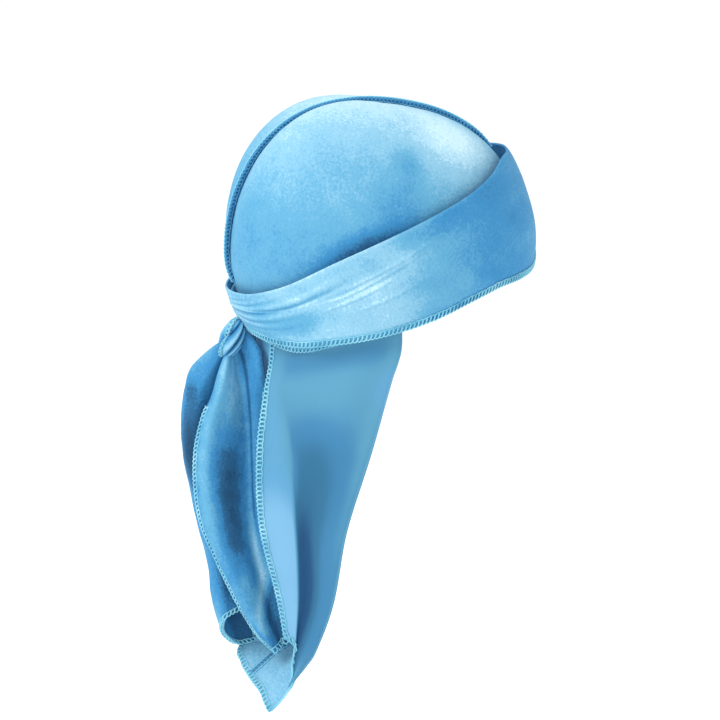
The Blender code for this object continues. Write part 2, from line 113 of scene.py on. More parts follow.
# Where they lie at set drops, in that order, as shares of half the cap's width and length
capeSections = {
    0.12: ((0.96, 0.04), (0.77, 0.38), (0.45, 0.61), (0.00, 0.72), (-0.48, 0.61), (-0.80, 0.40),
           (-0.94, 0.17), (-1.04, 0.02), (-1.00, 0.27), (-0.72, 0.64), (-0.61, 0.72),
           (-0.46, 0.75)),
    0.30: ((0.83, 0.08), (0.64, 0.38), (0.37, 0.59), (0.00, 0.66), (-0.44, 0.57), (-0.75, 0.38),
           (-0.88, 0.22), (-1.00, 0.15), (-0.94, 0.37), (-0.67, 0.57), (-0.60, 0.65),
           (-0.47, 0.82)),
    0.50: ((0.67, 0.19), (0.48, 0.44), (0.27, 0.60), (-0.03, 0.62), (-0.40, 0.53), (-0.66, 0.38),
           (-0.80, 0.33), (-0.93, 0.30), (-0.83, 0.43), (-0.64, 0.51), (-0.59, 0.61),
           (-0.47, 0.81)),
    0.70: ((0.51, 0.34), (0.31, 0.50), (0.12, 0.58), (-0.07, 0.53), (-0.37, 0.45), (-0.56, 0.37),
           (-0.66, 0.36), (-0.78, 0.37), (-0.69, 0.45), (-0.59, 0.50), (-0.57, 0.58),
           (-0.47, 0.69)),
    0.84: ((0.42, 0.44), (0.20, 0.74), (0.06, 0.64), (-0.10, 0.51), (-0.34, 0.46), (-0.47, 0.46),
           (-0.53, 0.46), (-0.63, 0.47), (-0.60, 0.54), (-0.51, 0.58), (-0.52, 0.58),
           (-0.48, 0.63)),
    0.88: ((0.40, 0.45), (0.10, 0.93), (0.02, 0.80), (-0.11, 0.66), (-0.31, 0.56), (-0.43, 0.53),
           (-0.49, 0.51), (-0.57, 0.53), (-0.55, 0.57), (-0.50, 0.59), (-0.52, 0.57),
           (-0.48, 0.62)),
    1.00: ((0.36, 0.48), (0.02, 1.30), (-0.06, 1.16), (-0.17, 1.06), (-0.29, 0.92), (-0.34, 0.84),
           (-0.38, 0.80), (-0.43, 0.73), (-0.46, 0.66), (-0.50, 0.59), (-0.52, 0.57),
           (-0.48, 0.62)),
}
# The loose ends' folds and the drop of each one's end
tailEnds = {
    "tailRight": {"edge": 1.0, "crest": 0.985, "centre": 0.98, "valley": 0.965, "strip": 0.96,
                  "inner": 0.955},
    "tailLeft": {"frontInner": 0.84, "frontCrest": 0.88, "turnback": 0.94, "backCrest": 0.995,
                 "backInner": 0.985},
}
# Where they lie at set drops below the knot, in that order, as shares of their spread
tailSections = {
    "tailRight": {
        0.00: ((-0.08, 0.41), (-0.12, 0.37), (-0.11, 0.32), (-0.10, 0.26), (-0.21, 0.17),
               (-0.34, 0.05)),
        0.05: ((-0.16, 0.51), (-0.25, 0.46), (-0.20, 0.36), (-0.14, 0.26), (-0.26, 0.15),
               (-0.34, 0.06)),
        0.12: ((-0.20, 0.61), (-0.32, 0.56), (-0.26, 0.42), (-0.17, 0.27), (-0.31, 0.16),
               (-0.38, 0.06)),
        0.20: ((-0.22, 0.76), (-0.34, 0.68), (-0.27, 0.48), (-0.18, 0.29), (-0.31, 0.18),
               (-0.34, 0.08)),
        0.32: ((-0.23, 0.88), (-0.35, 0.78), (-0.28, 0.54), (-0.20, 0.31), (-0.32, 0.22),
               (-0.28, 0.11)),
        0.50: ((-0.24, 0.90), (-0.38, 0.79), (-0.30, 0.55), (-0.23, 0.34), (-0.35, 0.24),
               (-0.26, 0.13)),
        0.70: ((-0.26, 0.77), (-0.40, 0.68), (-0.33, 0.49), (-0.27, 0.34), (-0.37, 0.21),
               (-0.28, 0.11)),
        0.90: ((-0.30, 0.54), (-0.40, 0.48), (-0.36, 0.36), (-0.31, 0.26), (-0.37, 0.17),
               (-0.30, 0.11)),
        1.00: ((-0.32, 0.24), (-0.39, 0.22), (-0.37, 0.18), (-0.34, 0.16), (-0.35, 0.13),
               (-0.31, 0.11)),
    },
    "tailLeft": {
        0.00: ((0.00, 0.36), (-0.04, 0.43), (0.03, 0.46), (0.09, 0.42), (0.10, 0.34)),
        0.05: ((0.01, 0.42), (-0.07, 0.56), (0.05, 0.65), (0.18, 0.56), (0.16, 0.38)),
        0.12: ((0.02, 0.48), (-0.08, 0.72), (0.07, 0.82), (0.24, 0.70), (0.20, 0.42)),
        0.30: ((0.03, 0.56), (-0.08, 0.82), (0.10, 0.96), (0.30, 0.80), (0.26, 0.50)),
        0.50: ((0.03, 0.56), (-0.08, 0.78), (0.10, 0.91), (0.32, 0.76), (0.28, 0.50)),
        0.70: ((0.01, 0.53), (-0.08, 0.74), (0.08, 0.85), (0.28, 0.74), (0.24, 0.51)),
        0.88: ((-0.02, 0.33), (-0.10, 0.76), (0.05, 0.86), (0.22, 0.74), (0.18, 0.45)),
        1.00: ((-0.03, 0.27), (-0.08, 0.66), (0.04, 0.70), (0.14, 0.60), (0.12, 0.35)),
    },
}


# A table's column as a smooth curve, sampled finely once so that whole grids can read it
def tableCurve(xs, ys, low, high, samples=1601):
    last = len(xs) - 1

    def slope(j):
        a, b = max(j - 1, 0), min(j + 1, last)
        return (ys[b] - ys[a]) / (xs[b] - xs[a])

    def value(at):
        i = max(0, min(last - 1, sum(1 for x in xs[1:] if x <= at)))
        span = xs[i + 1] - xs[i]
        s = (at - xs[i]) / span
        if s < 0 or s > 1:
            return ys[i] + (ys[i + 1] - ys[i]) * s
        return (ys[i] * (1 + 2 * s) * (1 - s) ** 2 + slope(i) * span * s * (1 - s) ** 2
                + ys[i + 1] * s * s * (3 - 2 * s) + slope(i + 1) * span * s * s * (s - 1))

    places = np.linspace(low, high, samples)
    heights = np.array([value(place) for place in places])
    return lambda at: np.interp(at, places, heights)


def columnCurves(rows, columns, low, high):
    return {column: tableCurve(list(rows), [row[i] for row in rows.values()], low, high)
            for i, column in enumerate(columns)}


def foldCurves(sections, folds, low, high):
    at, rows = list(sections), list(sections.values())
    return {(fold, part): tableCurve(at, [row[i][part] for row in rows], low, high)
            for i, fold in enumerate(folds) for part in (0, 1)}


formCurves = columnCurves(capForm, ("front", "back", "side", "quarter"), -1, 150)
edgeCurves = columnCurves(strapEdges, ("top", "hem", "innerTop", "innerHem"), 0, 180)
capeCurves = foldCurves(capeSections, capeEnds, -0.3, 1.1)
tailCurves = {tail: foldCurves(tailSections[tail], ends, 0, 1) for tail, ends in tailEnds.items()}


def unit(vectors):
    return vectors / np.maximum(np.linalg.norm(vectors, axis=-1, keepdims=True), 1e-12)


def stretched(at, low, high):  # 0 below low, 1 above high, smooth between
    s = np.clip((at - low) / (high - low), 0, 1)
    return s * s * (3 - 2 * s)


def bell(at, middle, halfWidth):
    return np.exp(-((at - middle) / halfWidth) ** 2)


def capPoint(tilt, turn):
    t, f = np.radians(tilt), np.radians(turn)
    along = np.cos(f) ** 2
    towardsFront = np.cos(f) > 0
    bulge = np.where(towardsFront, formCurves["front"](tilt), formCurves["back"](tilt)) * along
    bulge = bulge + formCurves["side"](tilt) * (1 - along)
    bulge = bulge + np.where(towardsFront, 0, formCurves["quarter"](tilt) * np.sin(2 * f) ** 2)
    return np.stack([-cap["width"] / 2 * bulge * np.sin(t) * np.sin(f),
                     -cap["length"] / 2 * bulge * np.sin(t) * np.cos(f),
                     cap["height"] * (bulge * np.cos(t) - 1)], axis=-1)


def onCap(tilt, turn, height):
    step = 0.05
    tilt, turn = np.asarray(tilt, float), np.asarray(turn, float)
    down = capPoint(tilt + step, turn) - capPoint(tilt - step, turn)
    roundIt = capPoint(tilt, turn + step) - capPoint(tilt, turn - step)
    out = unit(np.cross(roundIt, down))
    out = np.where((tilt < step)[..., None], np.array([0.0, 0.0, 1.0]), out)
    return capPoint(tilt, turn) + out * np.asarray(height)[..., None]


def nearTurn(turn):  # the same on both sides: 0 at the forehead, 180 at the nape
    return np.where(turn <= 180, turn, 360 - turn)


def strapEdge(edge, turn):
    return edgeCurves[edge](nearTurn(np.mod(turn, 360)))


def layerHeight(layer):
    return cloth["wall"] / 2 + np.asarray(layer) * (cloth["wall"] + cloth["layerGap"])


def throughPoints(points, at):  # points: folds x n x 3, at: n places counted in folds
    last = len(points) - 1
    i = np.clip(at.astype(int), 0, last - 1)
    s = (at - i)[:, None]
    n = np.arange(len(at))
    a, b = points[np.maximum(i - 1, 0), n], points[i, n]
    c, d = points[i + 1, n], points[np.minimum(i + 2, last), n]
    return (b * (1 + 2 * s) * (1 - s) ** 2 + (c - a) * 0.5 * s * (1 - s) ** 2
            + c * s * s * (3 - 2 * s) + (d - b) * 0.5 * s * s * (s - 1))


def softNoise(points, scale, seed):  # smooth noise of about -1 to 1
    shift = Vector((seed * 7.31, seed * 3.77, seed * 5.13))
    return np.array([noise.noise(Vector(point) * scale + shift) for point in points])


def noiseSum(points, rows):  # rows: gain, scale, seed and the share of the scale up the piece
    return sum(gain * softNoise(points * np.array([1, 1, upright]), scale, seed)
               for gain, scale, seed, upright in rows)


# rows: a gain and where it is kept, by the name of a field: a bell's middle and half width, or the
# start and end of a rise (From) or of a fall (To)
def shaded(rows, **fields):
    total = 0.0
    for gain, kept in rows:
        share = gain
        for key, (start, end) in kept.items():
            if key.endswith("From"):
                share = share * stretched(fields[key[:-4]], start, end)
            elif key.endswith("To"):
                share = share * (1 - stretched(fields[key[:-2]], start, end))
            else:
                share = share * bell(fields[key], start, end)
        total = total + share
    return total


def napAndPaintedLightOf(looks, points, **fields):  # 0 dark, 1 pale: painted light and shade from the rows, the pile's own tone from the noises
    return looks["base"] + shaded(looks["light"], **fields) + noiseSum(points, looks["noises"])


def sideOut(place, u, v, step=1e-3):  # the sheet's outward side at each place
    across = place(np.clip(u + step, 0, 1), v) - place(np.clip(u - step, 0, 1), v)
    down = place(u, np.clip(v + step, 0, 1)) - place(u, np.clip(v - step, 0, 1))
    return unit(np.cross(across, down))


# Making sheets


def newObject(name, data):
    made = bpy.data.objects.new(name, data)
    bpy.context.scene.collection.objects.link(made)
    return made


def meshOf(name, fill):
    shape = bmesh.new()
    fill(shape)
    mesh = bpy.data.meshes.new(name)
    shape.to_mesh(mesh)
    shape.free()
    return mesh


def reworked(mesh, work):
    shape = bmesh.new()
    shape.from_mesh(mesh)
    work(shape)
    shape.to_mesh(mesh)
    shape.free()
    mesh.shade_smooth()


def pointsOf(mesh):
    flat = np.empty(len(mesh.vertices) * 3)
    mesh.vertices.foreach_get("co", flat)
    return flat.reshape(-1, 3)


def paint(mesh, name, values):
    mesh.attributes.new(name, "FLOAT", "POINT")
    mesh.attributes[name].data.foreach_set("value", np.clip(values, 0, 1))


def clothGrid(name, looks, place, napAndPaintedLight, paintedFoldLight=None):
    across, down = looks["across"], looks["down"]
    mesh = meshOf(name, lambda shape: bmesh.ops.create_grid(
        shape, x_segments=across, y_segments=down, size=1))
    flat = pointsOf(mesh)
    u = np.round((flat[:, 0] + 1) / 2 * across) / across
    v = np.round((1 - flat[:, 1]) / 2 * down) / down
    points = place(u, v)
    mesh.vertices.foreach_set("co", points.ravel())
    corner = np.empty(len(mesh.loops), dtype=np.int32)
    mesh.loops.foreach_get("vertex_index", corner)
    cut = mesh.uv_layers.new(name="cloth")
    spread = np.stack([u[corner] * looks["flat"][0], -v[corner] * looks["flat"][1]], axis=-1)
    cut.data.foreach_set("uv", spread.ravel())
    # Painted light and shade go into these attributes: with the pile's own tone on the velvet,
    # along the folds on the knit back
    paint(mesh, "napAndPaintedLight", napAndPaintedLight(u, v, points))
    if paintedFoldLight:
        paint(mesh, "paintedFoldLight", paintedFoldLight(u, v))
    reworked(mesh, lambda shape: bmesh.ops.remove_doubles(
        shape, verts=shape.verts, dist=cloth["weld"]))
    area = sum(face.area for face in mesh.polygons)
    print(name, "sheet of", round(area * 1e4, 1), "square cm")
    return mesh


def putIn(name, mesh, finishes):
    for finish in finishes:
        mesh.materials.append(finish)
    piece = newObject(name, mesh)
    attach(piece, "root")
    return piece


def giveWall(piece, wall, inside=None):
    thick = piece.modifiers.new("Wall", "SOLIDIFY")
    thick.thickness = wall
    thick.offset = 0
    if inside is not None:
        thick.material_offset = inside
        thick.material_offset_rim = 0


def velvetPiece(name, node, finishName, looks, place, napAndPaintedLight, wall=cloth["wall"]):
    piece = putIn(name, clothGrid(name, looks, place, napAndPaintedLight), [velvet(finishName, velvetLooks)])
    giveWall(piece, wall)
    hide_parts(node)
    return piece


def threads(name, strands, finish):
    meshes = []
    for points, wire, sides in strands:
        line = bpy.data.curves.new(name, "CURVE")
        line.dimensions = "3D"
        run = line.splines.new("POLY")
        run.points.add(len(points) - 1)
        run.points.foreach_set("co", np.hstack([points, np.ones((len(points), 1))]).ravel())
        line.bevel_depth = wire
        line.bevel_resolution = sides
        line.use_fill_caps = True
        holder = newObject(name, line)
        graph = bpy.context.evaluated_depsgraph_get()
        meshes.append(bpy.data.meshes.new_from_object(holder.evaluated_get(graph)))
        bpy.data.objects.remove(holder)
        bpy.data.curves.remove(line)

    def gather(shape):
        for part in meshes:
            shape.from_mesh(part)
            bpy.data.meshes.remove(part)

    whole = meshOf(name, gather)
    whole.materials.clear()
    whole.shade_smooth()
    return putIn(name, whole, [finish])


def evenRun(points, inward, out, pitch, perStitch):
    steps = np.linalg.norm(np.diff(points, axis=0), axis=1)
    length = np.concatenate([[0], np.cumsum(steps)])
    stitches = max(2, int(round(length[-1] / pitch)))
    at = np.linspace(0, length[-1], stitches * perStitch + 1)
    resampled = [np.stack([np.interp(at, length, rows[:, k]) for k in range(3)], axis=-1)
                 for rows in (points, inward, out)]
    phase = np.linspace(0, 2 * math.pi * stitches, stitches * perStitch + 1)
    return resampled[0], unit(resampled[1]), unit(resampled[2]), phase


# How every row of stitches wanders (share, rate and start), leans, rises and swells
threadForm = {"wander": ((0.06, 0.37, 0), (0.04, 0.113, 1)), "loopStart": 0.5, "standOff": 0.8,
              "loopRise": (0.35, 1.2), "needleRise": (0.6, 0.4), "bead": (0.35, 0.45, 0.8),
              "rimSwing": 0.5}


# The overlock stitch: slanted loops on each face, a chain along the rim and a needle thread
# set in from it
def overlock(points, inward, out, stitch, closed=False):
    p, inw, o, phase = evenRun(points, inward, out, stitch["pitch"], stitch["perStitch"])
    if closed:
        p[-1] = p[0]
    half = stitch["wall"] / 2 + stitch["rung"] * threadForm["standOff"]
    wander = 1 + sum(share * np.sin(phase * rate + start)
                     for share, rate, start in threadForm["wander"])
    reach = (1 - np.cos(phase)) / 2 * stitch["width"] * wander
    forward = unit(np.gradient(p, axis=0))
    leaned = stitch["pitch"] * stitch["loop"] * np.sin(phase + threadForm["loopStart"])
    loopRise, riseStart = threadForm["loopRise"]
    needleRise, needleSwing = threadForm["needleRise"]
    loops, needles = [], []
    for face in stitch["faces"]:
        inset = reach - stitch["rung"] * stitch["proud"]
        loop = p + inw * inset[:, None] + forward * leaned[:, None]
        raised = face * (half + stitch["rung"] * loopRise * np.cos(phase + riseStart))
        loops.append((loop + o * raised[:, None], stitch["rung"], 1))
        swung = stitch["needle"] * (needleRise + needleSwing * np.sin(phase))
        height = face * (stitch["wall"] / 2 + swung)
        line = p + inw * (stitch["width"] * wander)[:, None] + o * height[:, None]
        needles.append((line[::2], stitch["needle"], 0))
    least, swell, swellStart = threadForm["bead"]
    beads = stitch["rail"] * (least + swell * np.sin(phase + swellStart))
    swing = half * threadForm["rimSwing"] * np.cos(phase)
    rim = p - inw * beads[:, None] + o * swing[:, None]
    return loops, [(rim, stitch["rail"], 1), *needles]


def overlocked(*edge, closed=False):  # loops, rim and needle lines in one list
    loops, lines = overlock(*edge, closed=closed)
    return loops + lines


def edgeOf(place, u, v, inwardStep):
    points = place(u, v)
    inner = place(np.clip(u + inwardStep[0], 0, 1), np.clip(v + inwardStep[1], 0, 1))
    inward = unit(inner - points)
    along = unit(np.gradient(points, axis=0))
    return points, inward, unit(np.cross(along, inward))


# Finishes


def newFinish(name):
    made = bpy.data.materials.new(name)
    made.use_nodes = True
    tree = made.node_tree
    return made, tree, tree.nodes["Principled BSDF"]


def joined(tree, source, target):
    tree.links.new(source, target)


def setSockets(shader, sockets):
    for socket, value in sockets.items():
        shader.inputs[socket].default_value = value


def placeNode(tree, kind, where, **sockets):
    made = tree.nodes.new(kind)
    for socket, value in sockets.items():
        made.inputs[socket].default_value = value
    joined(tree, where, made.inputs["Vector"])
    return made


def noiseOf(tree, where, scale, detail, roughness, distortion=0.0):
    return placeNode(tree, "ShaderNodeTexNoise", where, Scale=scale, Detail=detail,
                     Roughness=roughness, Distortion=distortion).outputs["Fac"]


def waveOf(tree, where, direction, scale, distortion):
    made = placeNode(tree, "ShaderNodeTexWave", where, Scale=scale,
                     Distortion=distortion, Detail=1.0)
    made.bands_direction = direction
    return made.outputs["Fac"]


def attributeOf(tree, name):
    made = tree.nodes.new("ShaderNodeAttribute")
    made.attribute_name = name
    return made.outputs["Fac"]


def sumOf(tree, first, second, share):  # first + share * (second - 0.5)
    made = tree.nodes.new("ShaderNodeMath")
    made.operation = "MULTIPLY_ADD"
    made.inputs[1].default_value = share
    made.inputs[2].default_value = -share / 2
    joined(tree, second, made.inputs[0])
    plus = tree.nodes.new("ShaderNodeMath")
    plus.operation = "ADD"
    joined(tree, made.outputs[0], plus.inputs[0])
    joined(tree, first, plus.inputs[1])
    return plus.outputs[0]


def coloured(tree, shader, value, stops):
    ramp = tree.nodes.new("ShaderNodeValToRGB")
    ramp.color_ramp.interpolation = "EASE"
    while len(ramp.color_ramp.elements) < len(stops):
        ramp.color_ramp.elements.new(0.5)
    for element, (place, colour) in zip(ramp.color_ramp.elements, stops):
        element.position = place
        element.color = (*colour, 1)
    joined(tree, value, ramp.inputs[0])
    joined(tree, ramp.outputs[0], shader.inputs["Base Color"])


def roughened(tree, shader, value, low, high):
    spread = tree.nodes.new("ShaderNodeMapRange")
    setSockets(spread, {"To Min": low, "To Max": high})
    joined(tree, value, spread.inputs["Value"])
    joined(tree, spread.outputs["Result"], shader.inputs["Roughness"])


def bumped(tree, shader, *layers):  # height, strength and distance of each bump, the first deepest
    normal = None
    for height, strength, distance in layers:
        bump = tree.nodes.new("ShaderNodeBump")
        setSockets(bump, {"Strength": strength, "Distance": distance})
        joined(tree, height, bump.inputs["Height"])
        if normal:
            joined(tree, normal, bump.inputs["Normal"])
        normal = bump.outputs["Normal"]
    joined(tree, normal, shader.inputs["Normal"])


# Noises are scale, detail, roughness and distortion; bumps are strength and distance
velvetLooks = {
    "stops": ((0.00, (0.008, 0.060, 0.140)), (0.20, (0.018, 0.115, 0.255)),
              (0.40, (0.038, 0.245, 0.510)), (0.60, (0.110, 0.375, 0.590)),
              (0.78, (0.246, 0.520, 0.700)), (0.90, (0.425, 0.690, 0.840)),
              (1.00, (0.600, 0.840, 0.920))),
    "noises": {"broad": (26.0, 3.0, 0.55, 0.6), "fine": (150.0, 3.0, 0.6, 0.9),
               "speckle": (620.0, 3.0, 0.7)},
    "shares": {"broad": 0.08, "fine": 0.12, "speckle": 0.36},
    "roughness": (0.68, 0.88), "pile": (0.35, 0.0005), "crush": (0.30, 0.0018),
    "sockets": {"Sheen Weight": 0.26, "Sheen Roughness": 0.42, "Sheen Tint": (0.42, 0.80, 1.0, 1),
                "Specular IOR Level": 0.25},
}


def velvet(name, looks):
    made, tree, shader = newFinish(name)
    where = tree.nodes.new("ShaderNodeTexCoord").outputs["Object"]
    noises = {key: noiseOf(tree, where, *sizes) for key, sizes in looks["noises"].items()}
    # The attribute brings the painted light and shade with the nap; the noises add the pile's own
    # uneven tone
    value = attributeOf(tree, "napAndPaintedLight")
    for key, share in looks["shares"].items():
        value = sumOf(tree, value, noises[key], share)
    coloured(tree, shader, value, looks["stops"])
    roughened(tree, shader, noises["fine"], *looks["roughness"])
    bumped(tree, shader, (noises["speckle"], *looks["pile"]), (noises["fine"], *looks["crush"]))
    setSockets(shader, looks["sockets"])
    return made


# Wales and courses are direction, scale and distortion
knitLooks = {
    "stops": ((0.00, (0.003, 0.066, 0.185)), (0.30, (0.016, 0.130, 0.255)),
              (0.50, (0.036, 0.195, 0.380)), (0.70, (0.085, 0.300, 0.460)),
              (0.85, (0.100, 0.330, 0.560)), (1.00, (0.185, 0.440, 0.670))),
    "broad": (18.0, 2.0, 0.5), "wales": ("X", 520.0, 0.6), "courses": ("Y", 700.0, 0.8),
    "shares": {"broad": 0.14, "wales": 0.07},
    "roughness": (0.56, 0.72), "ribs": (0.25, 0.0002), "loops": (0.15, 0.0002),
    "sockets": {"Sheen Weight": 0.15, "Sheen Roughness": 0.5, "Sheen Tint": (0.45, 0.82, 1.0, 1),
                "Specular IOR Level": 0.3},
}


# The velvet's knitted back: fine wales along the cloth, smoother and greyer than the pile
def knitBack(name, looks):
    made, tree, shader = newFinish(name)
    where = tree.nodes.new("ShaderNodeTexCoord").outputs["Object"]
    cut = tree.nodes.new("ShaderNodeUVMap")
    cut.uv_map = "cloth"
    wales = waveOf(tree, cut.outputs["UV"], *looks["wales"])
    courses = waveOf(tree, cut.outputs["UV"], *looks["courses"])
    # The attribute brings painted light and shade along the folds; the broad noise and the wales
    # add the knit's own tone
    value = sumOf(tree, attributeOf(tree, "paintedFoldLight"), noiseOf(tree, where, *looks["broad"]),
                  looks["shares"]["broad"])
    value = sumOf(tree, value, wales, looks["shares"]["wales"])
    coloured(tree, shader, value, looks["stops"])
    roughened(tree, shader, courses, *looks["roughness"])
    bumped(tree, shader, (wales, *looks["ribs"]), (courses, *looks["loops"]))
    setSockets(shader, looks["sockets"])
    return made


threadLooks = {
    "strand": (1600.0, 2.0, 0.6), "drift": (60.0, 2.0, 0.5), "strandShare": 0.6,
    "roughness": (0.45, 0.75), "fluff": (0.4, 0.0003),
    "sockets": {"Sheen Weight": 0.25, "Sheen Roughness": 0.4},
}
threadStops = {
    "hem": ((0.2, (0.070, 0.360, 0.560)), (0.5, (0.190, 0.560, 0.730)),
            (0.8, (0.360, 0.740, 0.850))),
    "seam": ((0.2, (0.020, 0.165, 0.360)), (0.5, (0.050, 0.285, 0.520)),
            (0.8, (0.120, 0.420, 0.660))),
    # The rim thread's stops are paler than the seam thread's: a painted highlight on the chain
    # along the crown seam's top; the flap seam's rails use it too
    "rim": ((0.2, (0.090, 0.400, 0.640)), (0.5, (0.200, 0.600, 0.800)),
            (0.8, (0.380, 0.780, 0.920))),
}


def threadFinish(name, stops, looks):
    made, tree, shader = newFinish(name)
    where = tree.nodes.new("ShaderNodeTexCoord").outputs["Object"]
    strand = noiseOf(tree, where, *looks["strand"])
    drift = noiseOf(tree, where, *looks["drift"])
    coloured(tree, shader, sumOf(tree, drift, strand, looks["strandShare"]), stops)
    roughened(tree, shader, strand, *looks["roughness"])
    bumped(tree, shader, (strand, *looks["fluff"]))
    setSockets(shader, looks["sockets"])
    return made


hemThread, seamThread, rimThread = [threadFinish(kind + "Thread", stops, threadLooks)
                                    for kind, stops in threadStops.items()]
stitch = {"pitch": 0.0028, "perStitch": 10, "width": 0.0034, "rung": 0.00050, "rail": 0.00066,
          "needle": 0.00046, "wall": 0.0012, "loop": 0.30, "proud": 0.8, "faces": (-1, 1)}
print("finishes made")


# The cap


panel = {
    "across": 120, "down": 84, "flat": (0.32, 0.20), "area": 0.0355, "gap": 0.0006,
    "puff": 0.0064, "puffWidth": 0.013, "hemAboveStrapHem": 5.0,
    "dimples": ((0.00025, 34, 1, 1), (0.0000875, 85, 2, 1)), "dimpledAbove": 12,
    # Painted light: painted highlights on the top, the front quarter and faintly near the back,
    # painted shade low down and a painted shadow just above the band's top edge; the noises are the
    # pile's own uneven tone
    "base": 0.64, "noises": ((0.04, 40, 5, 1), (0.03, 110, 6, 1)),
    "light": (
        (0.30, {"tilt": (10, 34)}), (0.26, {"turn": (48, 24), "tilt": (46, 18)}),
        (0.06, {"turn": (145, 16), "tilt": (44, 16)}), (-0.06, {"tiltFrom": (60, 90)}),
        (-0.36, {"turn": (101, 19), "above": (0, 8)}),
        (-0.05, {"turn": (150, 22), "tilt": (85, 25)})),
    # Darker patches on the crown's front side, fainter on the left panel, and one more on the left
    # panel near the back
    "darkPatches": ((-0.18, {"turn": (81, 6), "tilt": (56, 8)}),
                (-0.15, {"turn": (88, 10), "tilt": (70, 9)})),
    "darkPatchesOnLeft": 0.35, "leftOnly": ((-0.08, {"turn": (150, 30), "tilt": (50, 25)}),),
}


def panelPuff(tilt, turn):
    aside = capPoint(tilt, turn)[..., 0] / panel["puffWidth"]
    towardsNape = (1 - np.cos(np.radians(turn))) / 2
    aboveStrap = np.maximum(0, 1 - (tilt / strapEdge("top", turn)) ** 2)
    return panel["puff"] * (1 - np.exp(-aside * aside)) * towardsNape * aboveStrap


def makePanel(node, side):
    def turnTilt(u, v):
        turn = 180 * u if side < 0 else 360 - 180 * u
        return turn, v * (strapEdge("hem", turn) - panel["hemAboveStrapHem"])

    def place(u, v):
        turn, tilt = turnTilt(u, v)
        height = cloth["wall"] / 2 + panelPuff(tilt, turn)
        shown = stretched(strapEdge("top", turn) - tilt, 0, panel["dimpledAbove"])
        dimples = noiseSum(onCap(tilt, turn, height), panel["dimples"]) * shown
        points = onCap(tilt, turn, height + dimples)
        points[:, 0] += side * panel["gap"] / 2
        return points

    def napAndPaintedLight(u, v, points):
        turn, tilt = turnTilt(u, v)
        fields = {"turn": nearTurn(turn), "tilt": tilt, "above": strapEdge("top", turn) - tilt}
        light, darkPatches = napAndPaintedLightOf(panel, points, **fields), shaded(panel["darkPatches"], **fields)
        if side < 0:
            return light + darkPatches
        return light + darkPatches * panel["darkPatchesOnLeft"] + shaded(panel["leftOnly"], **fields)

    return velvetPiece(node + "_velvet", node, node + "_velvetFinish", panel, place, napAndPaintedLight)


crownRight = makePanel("crown_right", -1)
crownLeft = makePanel("crown_left", 1)
print("cap panels made")


seam = {"across": 330, "down": 6, "flat": (0.25, 0.0037), "height": 0.0033, "frontLower": 0.25,
        "core": 0.0009, "thickness": 0.0018, "lean": 0.25, "rooted": 0.0009, "shortOfStrap": 2.5,
        "endFall": 0.6, "endPower": 12, "waves": ((0.00025, 61, 0), (0.0002, 27, 1)),
        "footLight": 0.36, "ridgeLight": 0.15, "samples": 700}
seamStitch = {"pitch": 0.0026, "perStitch": 12, "width": 0.0028, "rung": 0.00050, "rail": 0.00050,
              "needle": 0.00034, "wall": 0.0010, "loop": 0.26, "proud": -0.6, "faces": (-1, 1)}


def seamPlace(u, v):
    front = strapEdge("top", 0) - seam["shortOfStrap"]
    back = strapEdge("top", 180) - seam["shortOfStrap"]
    foot = cloth["wall"] + cloth["pieceGap"] + seam["lean"] * seam["thickness"]
    along = -front + (front + back) * u
    fall = seam["endFall"] * np.abs(2 * u - 1) ** seam["endPower"]
    stands = seam["height"] * (1 - seam["frontLower"] * (1 - stretched(u, 0, 0.5)))
    height = (stands + seam["rooted"]) * (1 - v) * (1 - fall) - seam["rooted"]
    points = onCap(np.abs(along), np.where(along < 0, 0, 180), foot + height)
    wave = sum(size * np.sin(u * rate + start) for size, rate, start in seam["waves"])
    points[:, 0] += wave * (1 - v) - seam["lean"] * np.maximum(0, height)
    return points


# Painted shade at the foot of the seam, rising to a painted highlight along its top
def seamPaintedLight(u, v, points):
    return seam["footLight"] + seam["ridgeLight"] * (1 - v)


def makeSeam():
    piece = velvetPiece("crown_seam_cloth", "crown_seam", "crownSeamFinish", seam, seamPlace,
                        seamPaintedLight, seam["core"])
    n = seam["samples"]
    run = edgeOf(seamPlace, np.linspace(0, 1, n), np.zeros(n), (0, 1))
    loops, lines = overlock(*run, seamStitch)
    coil = threads("crown_seam_thread", loops, seamThread)
    chain = threads("crown_seam_rim", lines, rimThread)
    return [piece, coil, chain]


seamPieces = makeSeam()
print("centre seam made")


# The wound straps


outer = {
    "across": 400, "down": 64, "flat": (0.57, 0.060), "lift": 0.0022, "liftPower": 3,
    "ripples": ((0.0003, 40, 11, 1), (0.00012, 95, 12, 1)),
    "topRoll": -0.0005, "topRollWidth": 0.02,
    "creasesMeet": 193, "narrowAtKnot": 0.45, "depthLean": 0.6,
    "creaseLight": 105, "paleSide": (-0.4, 1), "darkSide": (1.1, 0.6), "darkShare": 1.3,
    # Painted light and shade: the band paler from the side to the back and darker again at the
    # nape, painted shade in patches near the creases, near the top at the side and along the hem, a
    # painted highlight along the folded top edge; the noises are the pile's own uneven tone
    "base": 0.42, "noises": ((0.07, 38, 14, 2.6), (0.03, 75, 15, 1)),
    "light": (
        (0.13, {"turnFrom": (48, 70)}), (0.25, {"turnFrom": (66, 96)}),
        (-0.14, {"turnFrom": (125, 155)}),
        (-0.20, {"turn": (128, 13), "down": (0.68, 0.16)}),
        (-0.10, {"turn": (150, 12), "down": (0.5, 0.2)}),
        (-0.15, {"turn": (78, 26), "down": (0.0, 0.24)}),
        (0.06, {"turn": (22, 12), "down": (0.72, 0.2)}),
        (-0.12, {"turn": (135, 16), "down": (0.28, 0.16)}),
        (-0.09, {"turn": (138, 20), "down": (0.76, 0.2)}),
        (0.10, {"down": (0.0, 0.03), "turnFrom": (20, 60)}), (-0.20, {"down": (0.975, 0.028)})),
}
